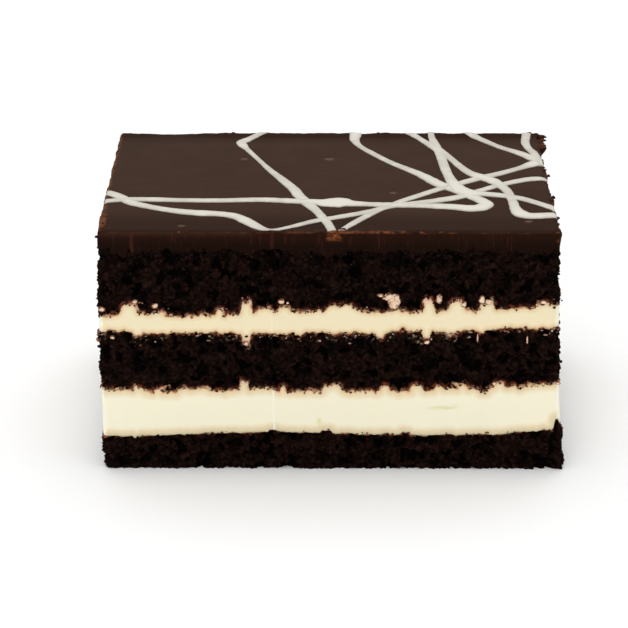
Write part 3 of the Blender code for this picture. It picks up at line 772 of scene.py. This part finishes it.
# Drizzle: white chocolate let run off a spoon in fast loops while the glaze was soft, so it sank in almost
# flush. The lines swell and thin, pool where they cross or turn, and are cut off with the slab's sides.
# Points of each line: x, y and width in millimetres.
DRIZZLE = {
    "zigzag": (
        (-14.5, 43, 2.0), (-18.2, 40.7, 2.0), (-22, 37.6, 2.2), (-24.6, 34.2, 3.0), (-25.9, 32.3, 3.2),
        (-25.2, 29.3, 2.8), (-23.8, 25.8, 1.9), (-20.3, 17.1, 1.6), (-16.9, 8.7, 2.0), (-13.1, 0.4, 2.8),
        (-9.6, -7.7, 3.3), (-8.5, -11.7, 3.4), (-6.3, -17.5, 3.5), (-3.7, -23.3, 2.9), (-1.7, -29, 2.6),
        (0, -34.6, 2.6), (1.4, -42, 2.4),
    ),
    "dip": (
        (-66, -7.5, 3.0), (-61.5, -10.6, 3.1), (-58.4, -13.5, 3.4), (-55.3, -17.6, 3.6),
        (-52.4, -19.7, 3.2), (-46.6, -22.7, 3.0), (-41, -24.8, 3.5), (-35.4, -26, 3.9),
        (-29.9, -26.7, 3.5), (-25.7, -28.4, 3.5), (-22.5, -31.9, 3.8), (-19.3, -36.2, 3.2),
        (-17.3, -38.2, 2.2), (-15.6, -38.9, 2.0), (-13.2, -37.8, 1.5), (-9, -35.3, 1.9),
        (-3.7, -31.8, 2.4), (3.1, -28.7, 2.5), (11.4, -24.7, 2.6), (17, -20.9, 2.7), (25.4, -17.8, 2.8),
        (31.1, -15.8, 3.2), (36.8, -13.1, 3.2), (42.7, -8.3, 2.5), (48.6, -3.8, 2.5), (54.6, -0.2, 2.8),
        (58.5, 1.3, 3.1), (61.5, 1.2, 2.2), (66, -0.8, 1.6),
    ),
    "hairpin": (
        (-66, -17.3, 2.2), (-61, -16.6, 2.6), (-55.5, -15.5, 2.8), (-47.1, -15.7, 3.1), (-41.5, -16.1, 2.7),
        (-30.3, -16.3, 2.8), (-19.2, -15.7, 3.0), (-10.8, -16.5, 3.4), (-3.8, -17.5, 4.0), (-1, -18.1, 5.6),
        (2.3, -17.9, 7.0), (4.5, -18, 6.4), (6.6, -18.7, 4.2), (11.5, -19.3, 3.0), (17, -19.8, 3.6),
        (25.3, -20.1, 3.2), (33.6, -20.9, 4.0), (39, -22.2, 4.4), (42.2, -21.4, 4.6), (43.8, -19, 4.2),
        (42.3, -15.8, 4.0), (39.6, -12.4, 3.6), (35.6, -7.4, 3.9), (31.6, -3.3, 4.1), (29, 0.7, 3.9),
        (26.3, 4.9, 3.3), (23.5, 8.4, 2.8), (17.9, 15.1, 2.3), (12.3, 23.8, 2.2), (9.2, 29.5, 2.0),
        (7.9, 34.8, 3.0), (8.2, 38.4, 3.6), (8.6, 43, 3.9),
    ),
    "rise": (
        (2.5, -41, 1.8), (4.6, -36.8, 1.9), (8.5, -30.8, 2.3), (14.1, -23.4, 2.1), (19.9, -17.1, 2.2),
        (25.6, -12, 2.4), (31.5, -6.8, 2.5), (37.4, -2.3, 2.8), (43.3, 1.9, 3.1), (49.3, 5.7, 2.8),
        (55.4, 10.3, 2.6), (59.5, 13.8, 4.2), (62.5, 15.2, 5.0), (66, 15.5, 5.0),
    ),
    "far_slant": (
        (36, 44.5, 1.4), (41.2, 40.7, 2.4), (45.4, 35.7, 2.6), (50.9, 28.3, 2.3), (56.4, 22.9, 3.0),
        (59.8, 18.3, 3.6), (62.5, 15.5, 4.5),
    ),
    "far_corner": (
        (60.2, 43, 2.4), (59.2, 36.8, 2.7), (58.7, 32, 2.6), (59.3, 27, 2.4), (60.6, 22.6, 2.6),
        (61.3, 17, 2.9), (62, 12.5, 2.5),
    ),
    "swan": (
        (14, 43.5, 1.6), (21.6, 41.4, 2.0), (26, 37.9, 2.1), (28.8, 32.8, 2.4), (31.2, 28.5, 3.4),
        (33.3, 23.8, 3.2), (35.6, 18.8, 2.4), (38.1, 11.8, 2.6), (40.7, 6.1, 3.0), (44, 2.4, 4.2),
        (46.8, -0.5, 4.0), (48.8, -4.5, 3.4), (50.4, -9, 2.9), (51.3, -16.9, 2.8), (51.6, -22, 3.2),
        (52.7, -26, 4.6), (55.2, -27.9, 4.2), (60.7, -27.5, 3.6), (66, -27.2, 3.4),
    ),
    "long_s": (
        (31.1, 44, 1.9), (30.9, 38.5, 2.0), (31.8, 30.4, 2.8), (32.9, 21.7, 3.0), (33.5, 13.1, 3.0),
        (34.3, 4.7, 3.0), (35.6, -2.7, 4.0), (37.4, -8.2, 5.4), (40.2, -10.5, 5.2), (43.1, -11, 3.4),
        (48, -12.1, 2.9), (53.5, -14.4, 2.8), (58.7, -18.7, 2.5), (61.8, -21.6, 2.8), (66, -25, 3.2),
    ),
}
DRIZZLE_STEP = 0.7 * MM
DRIZZLE_RISE, DRIZZLE_SHOULDER, DRIZZLE_OVERLAP = mm(0.3, 0.5, 0.01)
DRIZZLE_TRIM, DRIZZLE_FRONT_TRIM = mm(0.08, 0.8)
DRIZZLE_THIN = (0.50, 0.465, 0.405)
DRIZZLE_POOLED = (0.665, 0.635, 0.555)
DRIZZLE_COATS = (("pooled", DRIZZLE_POOLED), ((4 * MM, 3, 0.45, 0.7, 0, 0.7), DRIZZLE_POOLED))
DRIZZLE_RELIEF = (0.04 * MM, 1.2 * MM, 3)
DRIZZLE_SHEEN = {"Roughness": 0.45, "Specular IOR Level": 0.2}
BEAD_WAVER, BEAD_WAVER_LENGTH, BEAD_ROUNDNESS = 0.10, 1.8 * MM, 4


def smooth_route(points, step):
    """Points with widths at even steps along a smooth curve through a line's own points, in metres."""
    marks = [Vector(point) * MM for point in points]
    marks = [2 * marks[0] - marks[1], *marks, 2 * marks[-1] - marks[-2]]
    route = []
    for a, b, c, d in zip(marks, marks[1:], marks[2:], marks[3:]):
        count = max(1, round((c - b).xy.length / step))
        for k in range(count):
            t = k / count
            start = 2 * b + (c - a) * t
            bend = (2 * a - 5 * b + 4 * c - d) * t * t
            route.append(0.5 * (start + bend + (3 * b - a - 3 * c + d) * t**3))
    return [*route, marks[-2]]


def drizzle_bead(name, points):
    """One line as a round bead of uneven width, made from a curve, as a bmesh."""
    curve = bpy.data.curves.new(name, "CURVE")
    curve.dimensions = "3D"
    curve.bevel_depth = 0.5 * MM
    curve.bevel_resolution = BEAD_ROUNDNESS
    curve.use_fill_caps = True
    route = smooth_route(points, DRIZZLE_STEP)
    spline = curve.splines.new("POLY")
    spline.points.add(len(route) - 1)
    for mark, point in zip(spline.points, route):
        place = Vector((point.x, point.y, 0))
        mark.co = (*place, 1)
        mark.radius = point.z / MM * (1 + BEAD_WAVER * noise.noise(place / BEAD_WAVER_LENGTH))
    guide = new_object(name, curve)
    finished = guide.evaluated_get(bpy.context.evaluated_depsgraph_get())
    mesh = bpy.data.meshes.new_from_object(finished)
    bpy.data.objects.remove(guide)
    bm = bmesh.new()
    bm.from_mesh(mesh)
    bmesh.ops.remove_doubles(bm, verts=bm.verts, dist=1e-6)
    return bm


def sink_into_glaze(bm, lift):
    """Trims a bead at the bar's sides, where the knife went, and lays it flat on the glaze and its rim."""
    for normal, reach in ((Vector((1, 0, 0)), WIDTH / 2), (Vector((-1, 0, 0)), WIDTH / 2),
                          (Vector((0, 1, 0)), DEPTH / 2), (Vector((0, -1, 0)), DEPTH / 2)):
        everything = [*bm.verts, *bm.edges, *bm.faces]
        side = normal * (reach - (DRIZZLE_TRIM if normal.y >= 0 else DRIZZLE_FRONT_TRIM))
        bmesh.ops.bisect_plane(
            bm, geom=everything, dist=1e-7, plane_co=side, plane_no=normal, clear_outer=True)
        bmesh.ops.holes_fill(bm, edges=[edge for edge in bm.edges if edge.is_boundary])
    pooled = bm.verts.layers.float.new("pooled")
    for vertex in bm.verts:
        x, y, z = vertex.co
        inside = min(WIDTH / 2 - abs(x), DEPTH / 2 - abs(y))
        over = max(0, RIM - inside)
        drop = RIM - math.sqrt(max(0, RIM**2 - over**2))
        rise = DRIZZLE_RISE * math.tanh(z / DRIZZLE_SHOULDER)
        vertex[pooled] = smooth_step(z, 0.9 * MM, 2.2 * MM)
        vertex.co = (x + LEAN[-1] + MIDDLE.x, y + MIDDLE.y, top_height(x, y) + lift + rise - drop)
    bmesh.ops.recalc_face_normals(bm, faces=bm.faces)


white_chocolate = new_finish("white_chocolate", DRIZZLE_SHEEN, DRIZZLE_THIN, DRIZZLE_COATS, DRIZZLE_RELIEF)
for order, (line, line_points) in enumerate(DRIZZLE.items()):
    bead = drizzle_bead(line, line_points)
    sink_into_glaze(bead, order * DRIZZLE_OVERLAP)
    finish_piece(bead, "drizzle_" + line, white_chocolate, "chocolate_glaze")

# Broken bits of glaze: small scraps that the cut threw up, stuck on the rim, at the torn corner and beside
# the broken spot on the front.
# Each bit: x, y, height above the foot, half length and half thickness in millimetres, and how light it is.
GLAZE_BITS = (
    (3.7, -38.5, 71.15, 1.0, 0.45, 0.8), (64.1, 37.4, 71.2, 1.5, 0.5, 0.0),
    (63.9, 34.6, 71.0, 1.3, 0.4, 0.4), (63.6, 36.0, 71.0, 1.0, 0.6, 0.1),
    (63.4, 30.2, 70.8, 0.9, 0.5, 0.4), (63.2, 5.5, 70.5, 0.6, 0.45, 0.3), (62.5, 9.3, 70.9, 0.5, 0.3, 0.7),
    (62.3, 11.0, 71.0, 0.4, 0.3, 0.8), (62.9, -11.5, 70.3, 0.8, 0.6, 0.0),
    (62.7, -27.8, 70.4, 0.6, 0.5, 0.2), (62.5, -32.0, 70.2, 0.6, 0.5, 0.2),
    (62.0, -39.2, 70.0, 0.8, 0.8, 0.45), (61.7, -39.7, 68.7, 0.8, 0.8, 0.25),
    (-61.4, -33.5, 71.1, 0.35, 0.25, 0.6), (-60.9, -35.6, 71.1, 0.3, 0.2, 0.6),
    (-61.6, -37.6, 71.1, 0.35, 0.25, 0.5), (-28.6, 39.9, 71.3, 0.6, 0.35, 0.0),
    (15.0, 40.0, 71.3, 0.5, 0.3, 0.0), (-62.7, -39.4, 69.4, 0.5, 0.45, 0.0),
    (-40.5, -39.7, 70.8, 0.4, 0.25, 0.6), (-27.5, -39.7, 70.7, 0.35, 0.2, 0.6),
    (25.0, -39.6, 70.8, 0.7, 0.2, 0.6), (30.5, -39.6, 70.85, 0.9, 0.2, 0.5),
    (9.6, -39.6, 70.85, 1.2, 0.2, 0.5),
)


LUMP_UNEVEN = 0.45


def lump(bm, centre, half_sizes, turn, seed, rounds):
    """A small uneven lump: a round ball, scaled, turned and pushed about."""
    turned = Matrix.Translation(centre) @ Matrix.Rotation(turn, 4, "Z")
    placed = turned @ Matrix.Diagonal((*half_sizes, 1))
    made = bmesh.ops.create_icosphere(bm, subdivisions=rounds, radius=1, matrix=placed)["verts"]
    reach = max(half_sizes)
    for vertex in made:
        way = vertex.co - centre
        vertex.co += way * LUMP_UNEVEN * noise.noise(way / reach * 1.3 + Vector((seed, 0, seed * 0.37)))
    return made


def add_glaze_bits():
    draw = random.Random(3)
    bm = bmesh.new()
    light_mark = bm.verts.layers.float.new("chip")
    cut_mark = bm.verts.layers.float.new("cut_side")
    for x, y, z, half, thick, light in GLAZE_BITS:
        spot = Vector((x * MM + MIDDLE.x + LEAN[-1], y * MM + MIDDLE.y, z * MM))
        sizes = (half * MM, half * draw.uniform(0.5, 0.8) * MM, thick * MM)
        for vertex in lump(bm, spot, sizes, draw.uniform(-0.5, 0.5), draw.uniform(0, 90), 3):
            vertex[light_mark], vertex[cut_mark] = light, 1
    bmesh.ops.recalc_face_normals(bm, faces=bm.faces)
    finish_piece(bm, "broken_glaze", chocolate_ganache)


add_glaze_bits()

# Cream caught in the sponge: where the knife dragged through, drops and flecks of cream sit apart from the
# fillings in the torn crumb, most of them within a few millimetres of a filling's edge.
# Drops on the front: x, height above the foot, half width and half height in millimetres.
FRONT_DROPS = (
    (-52.6, 50.9, 0.8, 0.5), (-47.1, 49.6, 1.0, 0.8), (-61.4, 48.6, 0.9, 0.8), (-13.0, 51.0, 0.95, 0.8),
    (-11.2, 50.6, 0.45, 0.4), (17.6, 51.0, 1.9, 2.5), (16.0, 52.3, 1.6, 1.1), (14.0, 52.8, 1.0, 0.5),
    (29.7, 51.8, 0.9, 1.3), (36.4, 50.2, 0.7, 0.9), (57.8, 50.9, 1.1, 0.6), (-22.6, 38.4, 0.9, 0.6),
    (-58.6, 40.3, 0.7, 0.5), (53.6, 39.8, 0.3, 1.3), (-23.4, 27.0, 0.9, 0.4), (44.6, 26.6, 0.6, 0.5),
    (26.5, 39.0, 0.9, 0.6),
)
FLECK_COUNT = 300
# Where flecks lie: the level, which way from it, and how far they spread in millimetres.
FLECK_PLACES = ((3, -1, 2.8), (3, -1, 2.8), (3, -1, 1.2), (4, 1, 1.3), (4, 1, 2.0), (2, 1, 0.8))
FLECK_HALF = mm(0.10, 0.30)
FLECK_COLOUR, FLECK_STAINED, FLECK_RIM = (0.86, 0.67, 0.47), (0.68, 0.38, 0.25), (0.15, 0.042, 0.020)
FLECK_COATS = (((1.8 * MM, 5, 0.46, 0.68), FLECK_STAINED), ("outer", FLECK_RIM))
FLECK_SHEEN = {"Roughness": 0.55, "Specular IOR Level": 0.2}
DROP_PROUD, DROP_HALF_DEPTH = mm(0.3, 0.55)
DROP_UNEVEN, DROP_UNEVEN_LENGTH, DROP_RIM_LENGTH = 0.10, 0.6 * MM, 0.7 * MM


def add_caught_cream():
    draw = random.Random(5)
    bm = bmesh.new()
    outer = bm.verts.layers.float.new("outer")
    drops = [(x * MM + WIDTH / 2, z * MM, half_x * MM, half_z * MM) for x, z, half_x, half_z in FRONT_DROPS]
    for side in (1, 2, 3):
        for x, z, half_x, half_z in FRONT_DROPS:
            along = side * AROUND / 4 + draw.uniform(0, AROUND / 4)
            drops.append((along, (z + draw.uniform(-0.5, 0.5)) * MM, half_x * MM, half_z * MM))
    for along, z, half_x, half_z in drops:
        x, y, turn = side_place(along)
        spot = Vector((*stand(x, y, z, DROP_PROUD), z))
        for vertex in lump(bm, spot, (half_x, DROP_HALF_DEPTH, half_z), turn, draw.uniform(0, 90), 4):
            way = vertex.co - spot
            sideways = way.x * math.cos(turn) + way.y * math.sin(turn)
            across = math.hypot(sideways, way.z * half_x / half_z) / half_x
            vertex.co += way * DROP_UNEVEN * noise.noise(vertex.co / DROP_UNEVEN_LENGTH)
            vertex[outer] = smooth_step(across + 0.5 * noise.noise(vertex.co / DROP_RIM_LENGTH), 0.5, 1.0)
    for _ in range(FLECK_COUNT):
        along = draw.uniform(0, AROUND)
        level, way, spread = draw.choice(FLECK_PLACES)
        x, y, turn = side_place(along)
        z = level_height(level, x, y, along) + way * draw.uniform(0.05, 1) ** 1.5 * spread * MM
        half = draw.uniform(*FLECK_HALF)
        out = torn_crumb(Vector((x, y, z)))
        spot = Vector((*stand(x, y, z, max(out, -0.5 * MM)), z))
        sizes = (half * draw.uniform(0.8, 2.4), half, half * draw.uniform(0.5, 1.2))
        shade = draw.uniform(0.3, 1)
        for vertex in lump(bm, spot, sizes, turn, draw.uniform(0, 90), 2):
            vertex[outer] = shade
    bmesh.ops.recalc_face_normals(bm, faces=bm.faces)
    smeared = new_finish("smeared_cream", FLECK_SHEEN, FLECK_COLOUR, FLECK_COATS)
    finish_piece(bm, "caught_cream", smeared)


add_caught_cream()

# Loose crumbs: bits of sponge that the knife pulled out and left clinging to the torn sides, and as many
# finer ones along the edges of the fillings and the glaze. They break the outline at the corners.
CRUMB_COUNT, EDGE_CRUMB_COUNT = 1500, 1500
CRUMB_HALF, EDGE_CRUMB_HALF = mm(0.18, 0.55), mm(0.12, 0.34)
CRUMB_STAIN, EDGE_CRUMB_STAIN = mm(1.1, 0.25)
# Where edge crumbs lie: the level, and which way from it the filling or the glaze is.
EDGE_CRUMB_PLACES = ((1, 1), (2, -1), (3, 1), (4, -1), (2, -1), (4, -1), (2, -1), (4, -1), (5, 1), (5, 1))
EDGE_CRUMB_SPREAD = 0.6 * MM


def add_crumbs():
    draw = random.Random(8)
    bm = bmesh.new()
    near_cream = bm.verts.layers.float.new("near_cream")
    for _ in range(CRUMB_COUNT):
        along = draw.uniform(0, AROUND)
        low, high = draw.choice(((0, 1), (2, 3), (2, 3), (4, 5), (4, 5)))
        z = draw.uniform(LEVELS[low] + 0.6 * MM, LEVELS[high] - 0.4 * MM)
        x, y, turn = side_place(along)
        half = draw.uniform(*CRUMB_HALF)
        out = torn_crumb(Vector((x, y, z))) + 0.15 * half
        spot = Vector((*stand(x, y, z, out), z))
        sizes = (half * draw.uniform(0.7, 1.4), half, half * draw.uniform(0.7, 1.2))
        for vertex in lump(bm, spot, sizes, turn, draw.uniform(0, 90), 1):
            vertex[near_cream] = CRUMB_STAIN
    for _ in range(EDGE_CRUMB_COUNT):
        along = draw.uniform(0, AROUND)
        level, way = draw.choice(EDGE_CRUMB_PLACES)
        x, y, turn = side_place(along)
        z = level_height(level, x, y, along) + way * draw.uniform(0, 1) ** 3 * EDGE_CRUMB_SPREAD
        half = draw.uniform(*EDGE_CRUMB_HALF)
        spot = Vector((*stand(x, y, z, 0), z))
        sizes = (half * draw.uniform(0.8, 1.8), half, half)
        for vertex in lump(bm, spot, sizes, turn, draw.uniform(0, 90), 1):
            vertex[near_cream] = EDGE_CRUMB_STAIN if level in CREAM_EDGES else 1
    bmesh.ops.recalc_face_normals(bm, faces=bm.faces)
    finish_piece(bm, "loose_crumbs", chocolate_crumb)


add_crumbs()


# Floor, lights and camera: a plain white table, soft light from all round, most of it from above and in
# front, and a long lens that looks down on the long cut face.
FLOOR_SIZE = 6.0
FLOOR_COLOUR = (0.94, 0.94, 0.94)
FLOOR_SHEEN = {"Roughness": 0.6, "Specular IOR Level": 0.1}
CAMERA_AT = mm(-2.248, -616.17, 299.82)
CAMERA_DOWN, CAMERA_TURN, CAMERA_LENS, CAMERA_SENSOR = 23.694, 0.222, 131.85, 36
WORLD_LIGHT = 0.55
# The spot that the soft boxes point at.
LIT_SPOT = Vector((0, 0, 0.03))
# Soft boxes: name, place, size and power.
LIGHTS = (
    ("front_box", (-0.3, -1.3, 0.9), 1.0, 6.0),
    ("overhead_box", (0.0, 0.3, 1.7), 2.0, 22.0),
)


def add_floor():
    bm = bmesh.new()
    bmesh.ops.create_grid(bm, x_segments=1, y_segments=1, size=FLOOR_SIZE / 2)
    mesh = bpy.data.meshes.new("floor")
    bm.to_mesh(mesh)
    bm.free()
    mesh.materials.append(new_finish("white_table", FLOOR_SHEEN, FLOOR_COLOUR))
    new_object("floor", mesh)


def add_light(name, place, size, power):
    lamp = bpy.data.lights.new(name, "AREA")
    lamp.size = size
    lamp.energy = power
    box = new_object(name, lamp)
    box.location = place
    box.rotation_euler = (LIT_SPOT - Vector(place)).to_track_quat("-Z", "Y").to_euler()


add_floor()
for light in LIGHTS:
    add_light(*light)

world = bpy.data.worlds.new("studio")
world.use_nodes = True
sky = world.node_tree.nodes["Background"]
sky.inputs["Color"].default_value = (1, 1, 1, 1)
sky.inputs["Strength"].default_value = WORLD_LIGHT
bpy.context.scene.world = world
bpy.context.scene.view_settings.view_transform = "Standard"

lens = bpy.data.cameras.new("camera")
lens.lens = CAMERA_LENS
lens.sensor_width = CAMERA_SENSOR
camera = new_object("camera", lens)
camera.location = Vector(CAMERA_AT) + Vector((MIDDLE.x, MIDDLE.y, 0))
camera.rotation_euler = (math.radians(90 - CAMERA_DOWN), 0, math.radians(CAMERA_TURN))
bpy.context.scene.camera = camera
